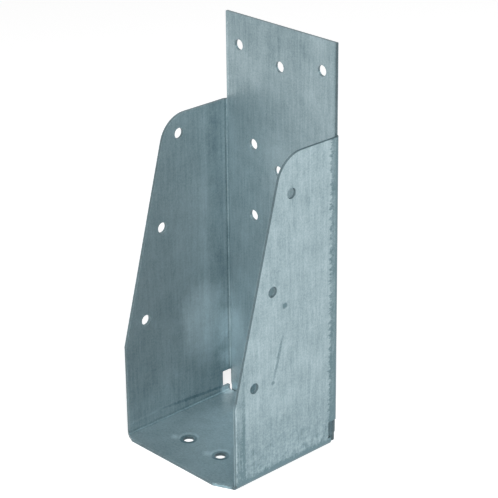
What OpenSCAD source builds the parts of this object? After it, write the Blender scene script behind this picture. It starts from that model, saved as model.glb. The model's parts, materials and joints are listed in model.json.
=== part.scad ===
// Joist hanger, nailed to a wall or beam and folded from sheet steel.
//
// Frame: X across the joist, +Y towards the wall, +Z up. The origin lies
// on the rear face, midway across the hanger, level with the underside
// of the seat. The joist comes in from the front, between the wings,
// and rests on the seat. Sizes are in millimetres.

/* [Joist and sheet] */

// Clear width between the wings, to suit the joist
joist_w = 71; // [45:1:120]

// Thickness of the sheet
sheet_t = 1.5; // [1:0.5:3]

// Inside radius of every bend
bend_r = 1; // [0.5:0.5:4]

/* [Back plate] */

// Height of the back plate above the underside of the seat
back_h = 196; // [175:1:280]

// How far its free sides stand out past the start of the upright bends
back_ledge = 0.5; // [0:0.5:2]

// Radius of its two lower corners
foot_r = 6; // [1:0.5:7]

/* [Wings] */

// Depth of the left wing, from the rear face to its upright front edge
wing_d = 67; // [60:0.5:90]

// How far the right wing's front edge stands behind the left one's
right_set = 1.5; // [0:0.5:4]

// Height of the wings' level top edge
wing_h = 153.5; // [130:0.5:165]

// Height at which the left wing's front edge starts to slope back
front_h = 47; // [35:0.5:65]

// Height at which the right wing's front edge starts to slope back
right_front_h = 41.5; // [35:0.5:65]

// Slope of the upper front edges, in degrees from upright
slope = 15; // [5:0.5:16]

// Radius between the sloping edge and the top edge
shoulder_r = 15; // [5:1:18]

/* [Seat] */

// How far the seat's front edge stands ahead of the left wing
seat_lead = 2.5; // [0.5:0.5:6]

// Slit between the seat's rear edge and the back plate
seat_gap = 0.5; // [0.2:0.1:1.5]

// Width over which its left front corner is cut back
left_trim = 6; // [1:0.5:15]

// Width over which its right front corner is cut back
right_trim = 11.5; // [4:0.5:20]

// Width over which its right rear corner is cut back
rear_trim = 5.5; // [3:0.5:15]

// How much further forward the bend ends at that corner
rear_set = 2.5; // [0.5:0.5:4]

/* [Corner slots] */

// Height of the slots that free the upright bends from the seat's bends
slot_h = 8.5; // [4:0.5:20]

// Height of the wing that is left between a slot and the seat's bend
slot_rise = 1.5; // [0.5:0.5:6]

// How far the slots run into the wings, past the upright bends
slot_reach = 4; // [1:0.5:8]

/* [Nail holes] */

// Diameter of every nail hole
hole_d = 5.2; // [3:0.1:6]

// Drop from the left wing's top edge to its first hole
wing_hole_drop = 9.5; // [7:0.5:20]

// Distance from the wings' sloping edge to their row of holes
wing_hole_edge = 9.5; // [6:0.25:14]

// Pitch of the three holes down each wing, along the slope
wing_pitch = 45; // [30:0.5:45]

// How much lower the right wing's holes sit, so that nails driven from
// both sides pass each other inside the joist
stagger = 9; // [6:0.5:14]

// Drop from the back plate's top edge to its two outer top holes
top_hole_drop = 14.5; // [8:0.5:18]

// Distance from the back plate's sides to those two holes
top_hole_edge = 8.5; // [5:0.5:15]

// How much lower the hole between those two sits
top_mid_drop = 4.5; // [0:0.5:8]

// Half the spacing of the holes in the two lower rows
row_hole_x = 17.5; // [8:0.5:17.5]

// Height of the upper of those rows
row_z = 135.5; // [110:0.5:145]

// Pitch between the two rows
row_pitch = 35.5; // [15:0.5:45]

// How much lower the middle hole of a row sits than its outer holes
mid_drop = 9; // [6:0.5:12]

// How far left of the middle the rows' middle holes and the pair of
// seat holes are punched
punch_shift = 1; // [0:0.5:4]

// Half the spacing of the two seat holes
seat_hole_x = 11; // [6:0.5:14]

// Distance from the seat's front edge to its holes
seat_hole_edge = 19; // [8:0.5:40]

/* [Hidden] */

$fn = 96;

hanger_w = joist_w + 2 * sheet_t;
side_x = hanger_w / 2;
fold_r = bend_r + sheet_t;
flat_x = side_x - fold_r;
back_x = flat_x + back_ledge;
seat_d = wing_d + seat_lead;
slot_z = fold_r + slot_rise;
slot_top = slot_z + slot_h;
slot_d = fold_r + slot_reach;
seat_rear = sheet_t + seat_gap;
past = 1;

// ---- The two sides --------------------------------------------------
// side is -1 for the left wing and 1 for the right.

// Depth of a wing, and the height at which its front edge starts to slope.
function depth(side) = side < 0 ? wing_d : wing_d - right_set;
function kink(side) = side < 0 ? front_h : right_front_h;

// Distance from the rear face to the rear end of a wing's bend into the
// seat.
function bend_end(side) = side < 0 ? seat_rear : seat_rear + rear_set;

// Y of the point that lies a given distance inside the sloping edge of
// a wing at height z.
function inside_slope(side, dist, z) =
    -depth(side) + (dist + (z - kink(side)) * sin(slope)) / cos(slope);

// ---- Plane shapes ---------------------------------------------------

// A rectangle standing on y = 0 whose two upper corners are round.
module arched(w, h, r) {
    translate([-w / 2, 0])
        square([w, h - r]);
    translate([-w / 2 + r, 0])
        square([w - 2 * r, h]);
    for (x = [-1, 1])
        translate([x * (w / 2 - r), h - r])
            circle(r);
}

// Sheet bent round both upper corners of such a rectangle, open below.
module bent_strip(h) {
    difference() {
        arched(hanger_w, h, fold_r);
        translate([0, -past])
            arched(joist_w, h - sheet_t + past, bend_r);
    }
}

// Side view of a wing in Y and Z. Its shoulder is the circle that
// touches both the sloping edge and the level top edge.
module wing_side(side) {
    cz = wing_h - shoulder_r;
    cy = inside_slope(side, shoulder_r, cz);
    polygon([
        [0, fold_r],
        [-depth(side), fold_r],
        [-depth(side), kink(side)],
        [cy - shoulder_r * cos(slope), cz + shoulder_r * sin(slope)],
        [cy, wing_h],
        [0, wing_h]
    ]);
    translate([cy, cz])
        circle(shoulder_r);
}

// Side view of what is cut out of a wing's lower rear corner: the slot,
// and the space behind the strip of wing that is left below it.
module wing_notch(side) {
    translate([-slot_d, slot_z])
        square([slot_d + past, slot_h]);
    translate([-bend_end(side), 0])
        square([bend_end(side) + past, slot_z + past]);
}

// Front view of the back plate. Beside the upright bends it is only as
// wide as the flat between them; above and below them it widens.
module back_front() {
    translate([-flat_x, 0])
        square([2 * flat_x, back_h]);
    translate([-back_x, wing_h])
        square([2 * back_x, back_h - wing_h]);
    translate([0, slot_top])
        mirror([0, 1])
            arched(2 * back_x, slot_top, foot_r);
}

// Plan of the seat with its two bends: the front edge stands a little
// ahead of the wings and is cut back to meet them.
module seat_plan() {
    polygon([
        [-side_x, -bend_end(-1)],
        [-side_x, -depth(-1)],
        [-side_x + left_trim, -seat_d],
        [side_x - right_trim, -seat_d],
        [flat_x, -depth(1)],
        [side_x, -depth(1)],
        [side_x, -bend_end(1)],
        [side_x - rear_trim, -seat_rear]
    ]);
}

// ---- Folded sheet ---------------------------------------------------

module back_plate() {
    rotate([90, 0, 0])
        linear_extrude(sheet_t)
            back_front();
}

// One wing with its upright bend, less the slot below that bend.
module wing(side) {
    difference() {
        intersection() {
            translate([0, -wing_d, fold_r])
                linear_extrude(wing_h - fold_r)
                    bent_strip(wing_d);
            translate([side > 0 ? flat_x : -side_x, 0, 0])
                rotate([90, 0, 90])
                    linear_extrude(fold_r)
                        wing_side(side);
        }
        translate([side > 0 ? flat_x - past : -side_x - past, 0, 0])
            rotate([90, 0, 90])
                linear_extrude(fold_r + 2 * past)
                    wing_notch(side);
    }
}

// The seat and the two bends that run up into the wings.
module seat() {
    intersection() {
        rotate([90, 0, 0])
            linear_extrude(seat_d)
                translate([0, fold_r + past])
                    mirror([0, 1])
                        bent_strip(fold_r + past);
        linear_extrude(fold_r)
            seat_plan();
    }
}

// ---- Nail holes -----------------------------------------------------

// A punched hole through the middle of the sheet, along Z.
module nail_hole() {
    cylinder(d = hole_d, h = sheet_t + 2 * past, center = true);
}

// The row of three down the slope of one wing.
module wing_holes(side, drop) {
    for (i = [0:2]) {
        z = wing_h - drop - i * wing_pitch * cos(slope);
        translate([
            side * (side_x - sheet_t / 2),
            inside_slope(side, wing_hole_edge, z),
            z
        ])
            rotate([0, 90, 0])
                nail_hole();
    }
}

module back_hole(x, z) {
    translate([x, -sheet_t / 2, z])
        rotate([90, 0, 0])
            nail_hole();
}

module back_holes() {
    top_z = back_h - top_hole_drop;
    for (x = [-1, 1])
        back_hole(x * (back_x - top_hole_edge), top_z);
    back_hole(0, top_z - top_mid_drop);
    for (z = [row_z, row_z - row_pitch]) {
        for (x = [-row_hole_x, row_hole_x])
            back_hole(x, z);
        back_hole(-punch_shift, z - mid_drop);
    }
}

module seat_holes() {
    for (x = [-seat_hole_x, seat_hole_x])
        translate([x - punch_shift, seat_hole_edge - seat_d, sheet_t / 2])
            nail_hole();
}

// ---- The hanger -----------------------------------------------------

module hanger() {
    color("#8FA6AB")
        difference() {
            union() {
                back_plate();
                wing(-1);
                wing(1);
                seat();
            }
            wing_holes(-1, wing_hole_drop);
            wing_holes(1, wing_hole_drop + stagger);
            back_holes();
            seat_holes();
        }
}

hanger();
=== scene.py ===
import json
import math

import bpy
from mathutils import Matrix, Vector


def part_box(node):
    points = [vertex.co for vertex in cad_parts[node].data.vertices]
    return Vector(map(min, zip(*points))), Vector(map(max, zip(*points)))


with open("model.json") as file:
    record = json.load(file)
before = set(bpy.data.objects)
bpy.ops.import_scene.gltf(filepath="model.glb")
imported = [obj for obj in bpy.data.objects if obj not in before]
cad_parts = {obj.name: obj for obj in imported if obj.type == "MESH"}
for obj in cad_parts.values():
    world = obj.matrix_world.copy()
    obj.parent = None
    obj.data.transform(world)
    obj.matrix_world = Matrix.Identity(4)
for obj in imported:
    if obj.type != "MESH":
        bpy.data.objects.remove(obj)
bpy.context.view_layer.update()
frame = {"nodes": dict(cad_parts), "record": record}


# ---- Camera ---------------------------------------------------------
# It stands to the right of the hanger and a little above it, and looks
# in between the two wings.

VIEW_AZIMUTH = math.radians(46.678)
VIEW_ELEVATION = math.radians(23.550)
VIEW_ROLL = math.radians(-0.600)
VIEW_DISTANCE = 0.84074
VIEW_TARGET = Vector((0.016516, -0.037, 0.107418))

lens = bpy.data.cameras.new("product_lens")
lens.sensor_width = 36
lens.lens = 136.72
lens.shift_x = 0.0002
lens.shift_y = -0.0130
lens.clip_start = 0.05
camera = bpy.data.objects.new("product_camera", lens)
bpy.context.scene.collection.objects.link(camera)
bpy.context.scene.camera = camera
bpy.context.scene.view_settings.view_transform = "Standard"

away = Vector((
    math.sin(VIEW_AZIMUTH) * math.cos(VIEW_ELEVATION),
    -math.cos(VIEW_AZIMUTH) * math.cos(VIEW_ELEVATION),
    math.sin(VIEW_ELEVATION),
))
level = Vector((math.cos(VIEW_AZIMUTH), math.sin(VIEW_AZIMUTH), 0))
upright = away.cross(level)
across = level * math.cos(VIEW_ROLL) + upright * math.sin(VIEW_ROLL)
upward = upright * math.cos(VIEW_ROLL) - level * math.sin(VIEW_ROLL)
camera.matrix_world = Matrix.Translation(VIEW_TARGET + away * VIEW_DISTANCE) @ Matrix(
    (across, upward, away)
).transposed().to_4x4()


# ---- Folded sheet ---------------------------------------------------
# The hanger is one piece of 1.5 mm sheet steel, blanked and punched flat
# and then folded cold on a press brake.

hanger = frame["nodes"]["hanger"]

SHEET = 1.5    # thickness of the sheet, mm
FOLD = 2.5     # outer radius of every bend, mm
SLACK = 0.1    # how near a skin a point has to lie to belong to it, mm
LOW, HIGH = (corner * 1000 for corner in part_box("hanger"))
WING_FACE = HIGH.x
INNER_FACE = WING_FACE - SHEET
FLAT_EDGE = WING_FACE - FOLD
MOUNTS = {mount["name"]: mount for mount in frame["record"]["mounts"]}
NAIL = {name: Vector(mount["pos_m"]) * 1000 for name, mount in MOUNTS.items()}


def rgb(code):
    """An sRGB hex colour as the linear colour that a shader takes."""
    parts = [int(code[i:i + 2], 16) / 255 for i in (1, 3, 5)]
    return [c / 12.92 if c < 0.04045 else ((c + 0.055) / 1.055) ** 2.4 for c in parts] + [1]


def node(tree, kind, links=None, **settings):
    """Adds a node, gives it its settings, and feeds its inputs with values,
    sockets, or the first output of other nodes."""
    made = tree.nodes.new(kind)
    for name, value in settings.items():
        setattr(made, name, value)
    for name, value in (links or {}).items():
        if isinstance(value, bpy.types.Node):
            value = value.outputs[0]
        if isinstance(value, bpy.types.NodeSocket):
            tree.links.new(value, made.inputs[name])
        else:
            made.inputs[name].default_value = value
    return made


# Hot-dip galvanised steel, skin-passed: a dull blue-grey zinc skin with
# fine rolling streaks, faint clouds, scratches and press marks, and painted
# light and shade at the folds, the inner faces, some edges and the seat's
# nail holes.
zinc = bpy.data.materials.new("hot_dip_galvanised_steel")
zinc.use_nodes = True
tree = zinc.node_tree
tree.nodes.clear()
place = node(tree, "ShaderNodeTexCoord").outputs["Object"]
mm = node(tree, "ShaderNodeVectorMath", {0: place, "Scale": 1000.0}, operation="SCALE")
axes = node(tree, "ShaderNodeSeparateXYZ", {0: mm})
x, y, z = axes.outputs

# How deep a point lies under the outer skin: 0 on the outside of the
# folds, minus the sheet's thickness on the inside, and in between on a
# sheared edge or in a punched hole.
off_x = node(tree, "ShaderNodeMath", {0: x}, operation="ABSOLUTE")
off_x = node(tree, "ShaderNodeMath", {0: off_x, 1: FLAT_EDGE}, operation="SUBTRACT")
off_y = node(tree, "ShaderNodeMath", {0: y, 1: FOLD}, operation="ADD")
off_z = node(tree, "ShaderNodeMath", {0: FOLD, 1: z}, operation="SUBTRACT")
depths = []
fold_shade = []
for off in (off_y, off_z):
    pair = node(tree, "ShaderNodeCombineXYZ", {0: off_x, 1: off})
    beyond = node(tree, "ShaderNodeVectorMath", {0: pair, 1: (0, 0, 0)}, operation="MAXIMUM")
    beyond = node(tree, "ShaderNodeVectorMath", {0: beyond}, operation="LENGTH").outputs["Value"]
    inner = node(tree, "ShaderNodeMath", {0: off_x, 1: off}, operation="MAXIMUM")
    inner = node(tree, "ShaderNodeMath", {0: inner, 1: 0.0}, operation="MINIMUM")
    depths.append(node(tree, "ShaderNodeMath", {0: beyond, 1: inner}, operation="ADD"))
    fold_shade.append(node(tree, "ShaderNodeMath", {0: off_x, 1: off}, operation="MINIMUM"))
depth = node(tree, "ShaderNodeMath", {0: depths[0], 1: depths[1]}, operation="MAXIMUM")
depth = node(tree, "ShaderNodeMath", {0: depth, 1: FOLD}, operation="SUBTRACT")
sheared = node(tree, "ShaderNodeMath", {
    0: depth, 1: -SHEET / 2, 2: SHEET / 2 - SLACK}, operation="COMPARE")

# Rolling streaks 1.2 mm apart and up to 15 mm long, upright on every
# face, over a grain of 0.8 mm that is drawn coarser than the real 0.2 mm,
# and clouds 9 mm and 28 mm across in the zinc.
streak_space = node(tree, "ShaderNodeMapping", {"Vector": mm, "Scale": (1, 1, 0.08)})
streaks = node(tree, "ShaderNodeTexNoise", {
    "Vector": streak_space, "Scale": 0.8, "Detail": 3.0, "Roughness": 0.6})
grain = node(tree, "ShaderNodeTexNoise", {
    "Vector": mm, "Scale": 1.25, "Detail": 2.0, "Roughness": 0.7})
small_clouds = node(tree, "ShaderNodeTexNoise", {
    "Vector": mm, "Scale": 0.11, "Detail": 4.0, "Roughness": 0.6})
wide_clouds = node(tree, "ShaderNodeTexNoise", {
    "Vector": mm, "Scale": 0.035, "Detail": 2.0, "Roughness": 0.5})
skin = 0.0
for layer, share in ((streaks, 0.5), (grain, 0.6), (small_clouds, 0.5), (wide_clouds, 0.25)):
    centred = node(tree, "ShaderNodeMath", {0: layer, 1: -0.5}, operation="ADD")
    skin = node(tree, "ShaderNodeMath", {0: centred, 1: share, 2: skin}, operation="MULTIPLY_ADD")
shade = node(tree, "ShaderNodeMath", {0: skin, 1: 1.0}, operation="ADD")

# Painted shade darkens every fold, as in the crease of a bend, the upright
# folds more than the two along the seat.
for fold, change in zip(fold_shade, (-0.34, -0.24)):
    fold = node(tree, "ShaderNodeMapRange", {
        "Value": fold, "From Min": -0.7, "From Max": 0.3, "To Min": 0.0, "To Max": change})
    shade = node(tree, "ShaderNodeMath", {0: shade, 1: fold}, operation="ADD")

# Painted light and shade on the inner faces: the pale and bright patches are
# painted light that lifts the deep, low parts of the inside, and the dull ones
# are painted shade, as on the top of the back plate. Each soft patch has its
# middle, its reach each way in mm and how much it changes. Some middles are
# set off from nail holes or from the sheet's faces and edges, and the rest
# are plain distances from the rear face and underside.
row_z = NAIL["row_nails"].z
left_nail = NAIL["left_nail_lower"]
wobble = node(tree, "ShaderNodeVectorMath", {
    0: small_clouds.outputs[1], 1: (16, 16, 16), 2: mm}, operation="MULTIPLY_ADD")
wobble = node(tree, "ShaderNodeVectorMath", {0: wobble, 1: (8, 8, 8)}, operation="SUBTRACT")
light_and_shade_patches = {
    "faint dull bloom at the back plate's upper left":
        ((11 - HIGH.x, -SHEET, HIGH.z - 32), (14, 12, 10), -0.02),
    "pale bloom at its upper right":
        ((HIGH.x - 10, -SHEET, HIGH.z - 39), (19, 12, 22), 0.07),
    "pale bloom at its middle":
        ((0, -SHEET, row_z + 10), (16, 12, 22), 0.2),
    "dull top of the back plate":
        ((-12, -SHEET, HIGH.z - 2), (40, 12, 22), -0.12),
    "bright patch low beside the left fold":
        ((7 - HIGH.x, -SHEET, 24), (11, 12, 34), 0.45),
    "pale patch at the left wing's rear":
        ((-INNER_FACE, -17, left_nail.z - 13), (12, 22, 28), 0.54),
    "pale patch above it":
        ((-INNER_FACE, -24, left_nail.z + 31), (12, 22, 44), 0.1),
    "dull front of the left wing":
        ((-INNER_FACE, left_nail.y - 4, left_nail.z - 27), (12, 15, 34), -0.12),
    "painted light at the rear of the seat":
        ((6, -26, SHEET), (44, 40, 12), 0.36),
}
patch_shading = 0.0
for centre, reach, change in light_and_shade_patches.values():
    spot = node(tree, "ShaderNodeMapping", {
        "Vector": wobble, "Location": centre, "Scale": reach}, vector_type="TEXTURE")
    spot = node(tree, "ShaderNodeTexGradient", {"Vector": spot}, gradient_type="SPHERICAL")
    spot = node(tree, "ShaderNodeMapRange", {
        "Value": spot, "From Max": 0.7, "To Max": change}, interpolation_type="SMOOTHSTEP")
    patch_shading = node(tree, "ShaderNodeMath", {0: spot, 1: patch_shading}, operation="ADD")
inside = node(tree, "ShaderNodeMath", {0: depth, 1: SLACK - SHEET}, operation="LESS_THAN")
shade = node(tree, "ShaderNodeMath", {0: patch_shading, 1: inside, 2: shade}, operation="MULTIPLY_ADD")

# Scratches and press marks, with painted shade and painted highlights among
# them, each with its middle, its reach each way in mm, its lean about X in
# degrees and how much it changes. A narrow reach across the sheet keeps it
# on one face. Some are set off from nail holes, folds or the right wing's
# front edge, and the rest are plain distances from the rear face and underside.
speck_nail = NAIL["right_nail_middle"]
scratch_nail = NAIL["right_nail_lower"]
front_edge = LOW.y + 4
marks_and_painted_light = {
    "long scratch on the right wing":
        ((WING_FACE, scratch_nail.y + 15, scratch_nail.z + 10.5), (2, 1.3, 14), -16, -0.34),
    "pale lip beside that scratch":
        ((WING_FACE, scratch_nail.y + 14, scratch_nail.z + 10.5), (2, 0.8, 12), -16, 0.14),
    "nick at its foot":
        ((WING_FACE, scratch_nail.y + 11.5, scratch_nail.z - 1.5), (2, 1.3, 1.3), 0, -0.36),
    "dark speck above it":
        ((WING_FACE, speck_nail.y + 7.5, speck_nail.z - 9), (2, 1.9, 1.9), 0, -0.5),
    "scratched line near the right wing's front":
        ((WING_FACE, front_edge + 5, 22), (1, 1.1, 60), 0, -0.28),
    # Painted shadow in the crease where the seat folds up into the left wing.
    "painted crease shadow along the left fold":
        ((-INNER_FACE, -22, FOLD + 3), (1, 33, 1.0), -4, -0.32),
    # Painted light along the same fold, further forward.
    "pale line that runs on from it":
        ((-INNER_FACE, -55, FOLD + 4.5), (2, 16, 0.9), 3, 0.16),
    "upright line behind the left slot":
        ((-INNER_FACE, -2 * FOLD, 80), (2, 0.8, 120), 0, -0.12),
    "upright dull band in front of it":
        ((-INNER_FACE, -4 * FOLD, 90), (2, 6, 120), 0, -0.12),
    "upright pale line in front of that":
        ((-INNER_FACE, -16.5, 90), (1, 2.4, 120), 0, 0.09),
    # Painted highlight: light through the left slot falling on the seat's fold.
    "painted highlight below the left slot":
        ((-INNER_FACE, -2 * FOLD, FOLD), (5, 4, 4), 0, 0.7),
    # Painted shade on the fold under the right wing, which turns away from the light.
    "painted shade along the right wing's foot fold":
        ((WING_FACE, -32, SHEET / 2), (4, 90, 4.6), 0, -0.36),
    "dull strip at the right wing's front":
        ((WING_FACE, front_edge + 2.5, 14), (1, 3.6, 66), 0, -0.2),
    "dull foot of the right wing":
        ((WING_FACE, -44, 0), (1, 70, 40), 0, -0.2),
    # Painted highlight on the cut edge of the seat's trimmed corner.
    "painted highlight at the seat's right front corner":
        ((WING_FACE - 3 * FOLD, LOW.y + 1.5, SHEET / 2), (8, 4, 0.8), 0, 1.3),
    # A lighter strip on the right wing's front cut edge.
    "paler strip on the right wing's front edge":
        ((WING_FACE - SHEET / 2, front_edge, 16), (2, 0.9, 60), 0, 0.4),
    # Painted highlight along the back plate's left edge.
    "painted highlight on the back plate's left edge":
        ((-FLAT_EDGE, -SHEET, HIGH.z - 21), (1, 2, 44), 0, 0.4),
}
jitter = node(tree, "ShaderNodeTexNoise", {"Vector": mm, "Scale": 0.7, "Detail": 2.0})
jitter = node(tree, "ShaderNodeVectorMath", {
    0: jitter.outputs[1], 1: (1.4, 1.4, 1.4), 2: mm}, operation="MULTIPLY_ADD")
jitter = node(tree, "ShaderNodeVectorMath", {0: jitter, 1: (0.7, 0.7, 0.7)}, operation="SUBTRACT")
for centre, reach, lean, change in marks_and_painted_light.values():
    line = node(tree, "ShaderNodeMapping", {
        "Vector": jitter, "Location": centre, "Rotation": (math.radians(lean), 0, 0),
        "Scale": reach}, vector_type="TEXTURE")
    line = node(tree, "ShaderNodeTexGradient", {"Vector": line}, gradient_type="SPHERICAL")
    line = node(tree, "ShaderNodeMapRange", {
        "Value": line, "From Max": 0.5, "To Max": change}, interpolation_type="SMOOTHSTEP")
    shade = node(tree, "ShaderNodeMath", {0: shade, 1: line}, operation="ADD")

# Painted shade darkens a band some 6 mm wide at the right wing's rear, where
# the sheet turns round the fold to the back plate; its front is ragged, and
# dark nicks about 2 mm long run along it. Below, the foot of the same face
# is mottled.
outside_right = node(tree, "ShaderNodeMath", {0: x, 1: WING_FACE - 0.3}, operation="GREATER_THAN")
nick_space = node(tree, "ShaderNodeMapping", {"Vector": mm, "Scale": (0, 0.25, 1)})
ragged = node(tree, "ShaderNodeTexNoise", {
    "Vector": nick_space, "Scale": 0.6, "Detail": 3.0, "Roughness": 0.7})
front = node(tree, "ShaderNodeMath", {0: ragged, 1: 8.0, 2: -10.0}, operation="MULTIPLY_ADD")
past_front = node(tree, "ShaderNodeMath", {0: y, 1: front}, operation="SUBTRACT")
band = node(tree, "ShaderNodeMapRange", {
    "Value": past_front, "From Min": -0.4, "From Max": 0.4, "To Min": 0.0, "To Max": 1.0})
nicks = node(tree, "ShaderNodeTexNoise", {
    "Vector": nick_space, "Scale": 0.5, "Detail": 1.0, "Roughness": 0.5, "W": 3.0},
    noise_dimensions="4D")
nicks = node(tree, "ShaderNodeMapRange", {
    "Value": nicks, "From Min": 0.47, "From Max": 0.55, "To Min": 0.0, "To Max": 1.0})
at_front = node(tree, "ShaderNodeMath", {0: past_front, 1: 0.3, 2: 1.0}, operation="COMPARE")
nicks = node(tree, "ShaderNodeMath", {0: nicks, 1: at_front}, operation="MULTIPLY")
# The band is painted shade; the nicks and the mottle are marks in the zinc.
rear_shade_and_marks = node(tree, "ShaderNodeMath", {0: band, 1: -0.4}, operation="MULTIPLY")
rear_shade_and_marks = node(tree, "ShaderNodeMath", {0: nicks, 1: -0.16, 2: rear_shade_and_marks}, operation="MULTIPLY_ADD")
foot = node(tree, "ShaderNodeMapRange", {
    "Value": z, "From Min": 6.0, "From Max": 26.0, "To Min": 1.0, "To Max": 0.0})
mottle = node(tree, "ShaderNodeTexNoise", {
    "Vector": mm, "Scale": 0.3, "Detail": 4.0, "Roughness": 0.75})
mottle = node(tree, "ShaderNodeMapRange", {
    "Value": mottle, "From Min": 0.42, "From Max": 0.68, "To Min": 0.1, "To Max": -0.3})
mottle = node(tree, "ShaderNodeMath", {0: mottle, 1: foot}, operation="MULTIPLY")
rear_shade_and_marks = node(tree, "ShaderNodeMath", {0: rear_shade_and_marks, 1: mottle}, operation="ADD")
rear_shade_and_marks = node(tree, "ShaderNodeMath", {0: rear_shade_and_marks, 1: outside_right}, operation="MULTIPLY")
shade = node(tree, "ShaderNodeMath", {0: shade, 1: rear_shade_and_marks}, operation="ADD")

# Round each nail hole of the seat the punch left a shallow dish: painted
# shade darkens the dish, a painted highlight lightens its rim to the left and
# rear, as light falls on its slopes, and a pale smudge lies to its left.
seat_nails = MOUNTS["seat_nails"]
for way in (-1, 1):
    hole_x = seat_nails["pos_m"][0] * 1000 + way * seat_nails["dims"]["spacing_x_mm"] / 2
    hole_y = seat_nails["pos_m"][1] * 1000
    # Painted shade in the dish and a painted highlight on its rim.
    dish_shade_and_rim_light = (
        ((hole_x, hole_y, SHEET), 4.1, -0.72),
        ((hole_x - 1.2, hole_y + 1.2, SHEET), 4.7, 0.3),
    )
    for middle, radius, change in dish_shade_and_rim_light:
        dish = node(tree, "ShaderNodeVectorMath", {
            0: mm, 1: middle}, operation="DISTANCE").outputs["Value"]
        dish = node(tree, "ShaderNodeMapRange", {
            "Value": dish, "From Min": radius - 0.5, "From Max": radius + 0.5,
            "To Min": change, "To Max": 0.0}, interpolation_type="SMOOTHSTEP")
        shade = node(tree, "ShaderNodeMath", {0: shade, 1: dish}, operation="ADD")
    smudge = node(tree, "ShaderNodeMapping", {
        "Vector": mm, "Location": (hole_x - 6, hole_y - 3, SHEET), "Scale": (3.5, 3, 2)},
        vector_type="TEXTURE")
    smudge = node(tree, "ShaderNodeTexGradient", {"Vector": smudge}, gradient_type="SPHERICAL")
    shade = node(tree, "ShaderNodeMath", {0: smudge, 1: 0.6, 2: shade}, operation="MULTIPLY_ADD")

# Where the shade is low, from dull zinc and painted shade, the colour is
# darker and a little greener than the clean skin; where it is high, from pale
# zinc and painted light, it is paler and greyer, past the clean colour on the
# same line. Sheared edges are bare steel, darker than either.
shade = node(tree, "ShaderNodeMath", {0: shade, 1: 0.5}, operation="MAXIMUM")
clean = node(tree, "ShaderNodeMath", {0: shade, 1: 2.0, 2: -1.0}, operation="MULTIPLY_ADD")
skin_colour = node(tree, "ShaderNodeMix", {
    0: clean, 6: rgb("#627B82"), 7: rgb("#95A9AF")}, data_type="RGBA", clamp_factor=False).outputs[2]
edge_colour = node(tree, "ShaderNodeVectorMath", {
    0: rgb("#63777D")[:3], "Scale": shade}, operation="SCALE")
colour = node(tree, "ShaderNodeMix", {
    0: sheared, 6: skin_colour, 7: edge_colour}, data_type="RGBA").outputs[2]
rough = node(tree, "ShaderNodeMath", {0: skin, 1: -0.4, 2: 0.42}, operation="MULTIPLY_ADD")
bump = node(tree, "ShaderNodeBump", {"Height": skin, "Strength": 0.25, "Distance": 0.0004})
steel = node(tree, "ShaderNodeBsdfPrincipled", {
    "Base Color": colour, "Metallic": 0.6, "Roughness": rough, "Normal": bump})
node(tree, "ShaderNodeOutputMaterial", {"Surface": steel})

hanger.data.materials.clear()
hanger.data.materials.append(zinc)


# ---- Floor and studio -----------------------------------------------
# A plain pale paper floor under the seat and a pale surround. A small
# soft light stands behind the right wing, and a large strong one in front
# lights the inside of the hanger by bouncing between its faces.

bpy.ops.object.select_all(action="DESELECT")
bpy.ops.mesh.primitive_plane_add(size=8, location=(0, 0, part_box("hanger")[0].z))
floor = bpy.context.object
floor.name = "studio_floor"
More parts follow.
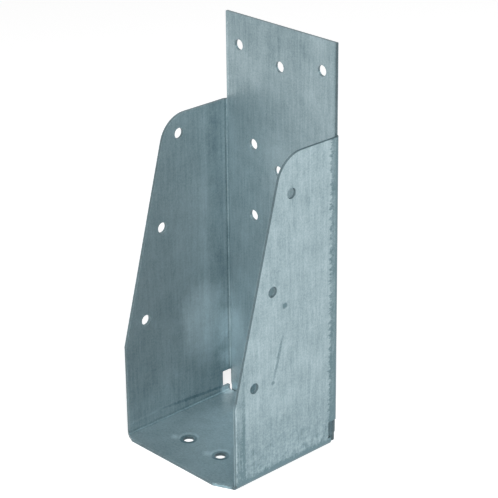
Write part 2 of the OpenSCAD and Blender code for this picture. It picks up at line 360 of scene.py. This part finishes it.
# Matt white paper: it looks pure white and keeps the hanger's soft shadow.
paper = bpy.data.materials.new("matt_white_paper")
paper.use_nodes = True
tree = paper.node_tree
tree.nodes.clear()
path = node(tree, "ShaderNodeLightPath")
seen = node(tree, "ShaderNodeMath", {
    0: path.outputs["Is Camera Ray"], 1: path.outputs["Is Glossy Ray"]}, operation="MAXIMUM")
seen = node(tree, "ShaderNodeMath", {
    0: seen, 1: path.outputs["Is Transmission Ray"]}, operation="MAXIMUM")
lift_strength = node(tree, "ShaderNodeMath", {0: seen, 1: 0.67}, operation="MULTIPLY")
matt = node(tree, "ShaderNodeBsdfDiffuse", {"Color": rgb("#CFCFCF")})
lift = node(tree, "ShaderNodeEmission", {"Color": rgb("#FFFFFF"), "Strength": lift_strength})
both = node(tree, "ShaderNodeAddShader", {0: matt, 1: lift})
node(tree, "ShaderNodeOutputMaterial", {"Surface": both})
floor.data.materials.append(paper)

# The surround looks white, but lights the hanger only dimly, and more
# from behind on the right than from the front on the left.
world = bpy.data.worlds.new("studio")
bpy.context.scene.world = world
world.use_nodes = True
tree = world.node_tree
tree.nodes.clear()
path = node(tree, "ShaderNodeLightPath")
seen = node(tree, "ShaderNodeMath", {
    0: path.outputs["Is Camera Ray"], 1: path.outputs["Is Glossy Ray"]}, operation="MAXIMUM")
seen = node(tree, "ShaderNodeMath", {
    0: seen, 1: path.outputs["Is Transmission Ray"]}, operation="MAXIMUM")
toward = node(tree, "ShaderNodeTexCoord").outputs["Generated"]
toward = node(tree, "ShaderNodeVectorMath", {
    0: toward, 1: (0.7, 0.7, 0)}, operation="DOT_PRODUCT").outputs["Value"]
glow = node(tree, "ShaderNodeMapRange", {
    "Value": toward, "From Min": -1.0, "From Max": 1.0, "To Min": 0.06, "To Max": 0.32})
around = node(tree, "ShaderNodeBackground", {"Color": rgb("#FFFFFF"), "Strength": glow})
behind = node(tree, "ShaderNodeBackground", {"Color": rgb("#FFFFFF"), "Strength": 1.0})
pick = node(tree, "ShaderNodeMixShader", {0: seen, 1: around, 2: behind})
node(tree, "ShaderNodeOutputWorld", {"Surface": pick})

# Each soft light has its side and place in metres, its power in watts and
# what it is aimed at.
soft_lights = {
    "softbox": (0.7, 2.2, Vector((0.65, 0.5, 0.6)), Vector((0.1, 0.05, 0))),
    "front_softbox": (1.2, 30, Vector((0.62, -0.6, 0.8)) * 1.5, Vector((0, 0, 0.1))),
}
for name, (side, power, stand, aim) in soft_lights.items():
    light = bpy.data.lights.new(name, "AREA")
    light.shape = "SQUARE"
    light.size = side
    light.energy = power
    lamp = bpy.data.objects.new(name, light)
    bpy.context.scene.collection.objects.link(lamp)
    lamp.location = stand
    lamp.rotation_euler = (aim - stand).to_track_quat("-Z", "Y").to_euler()
    lamp.visible_camera = False
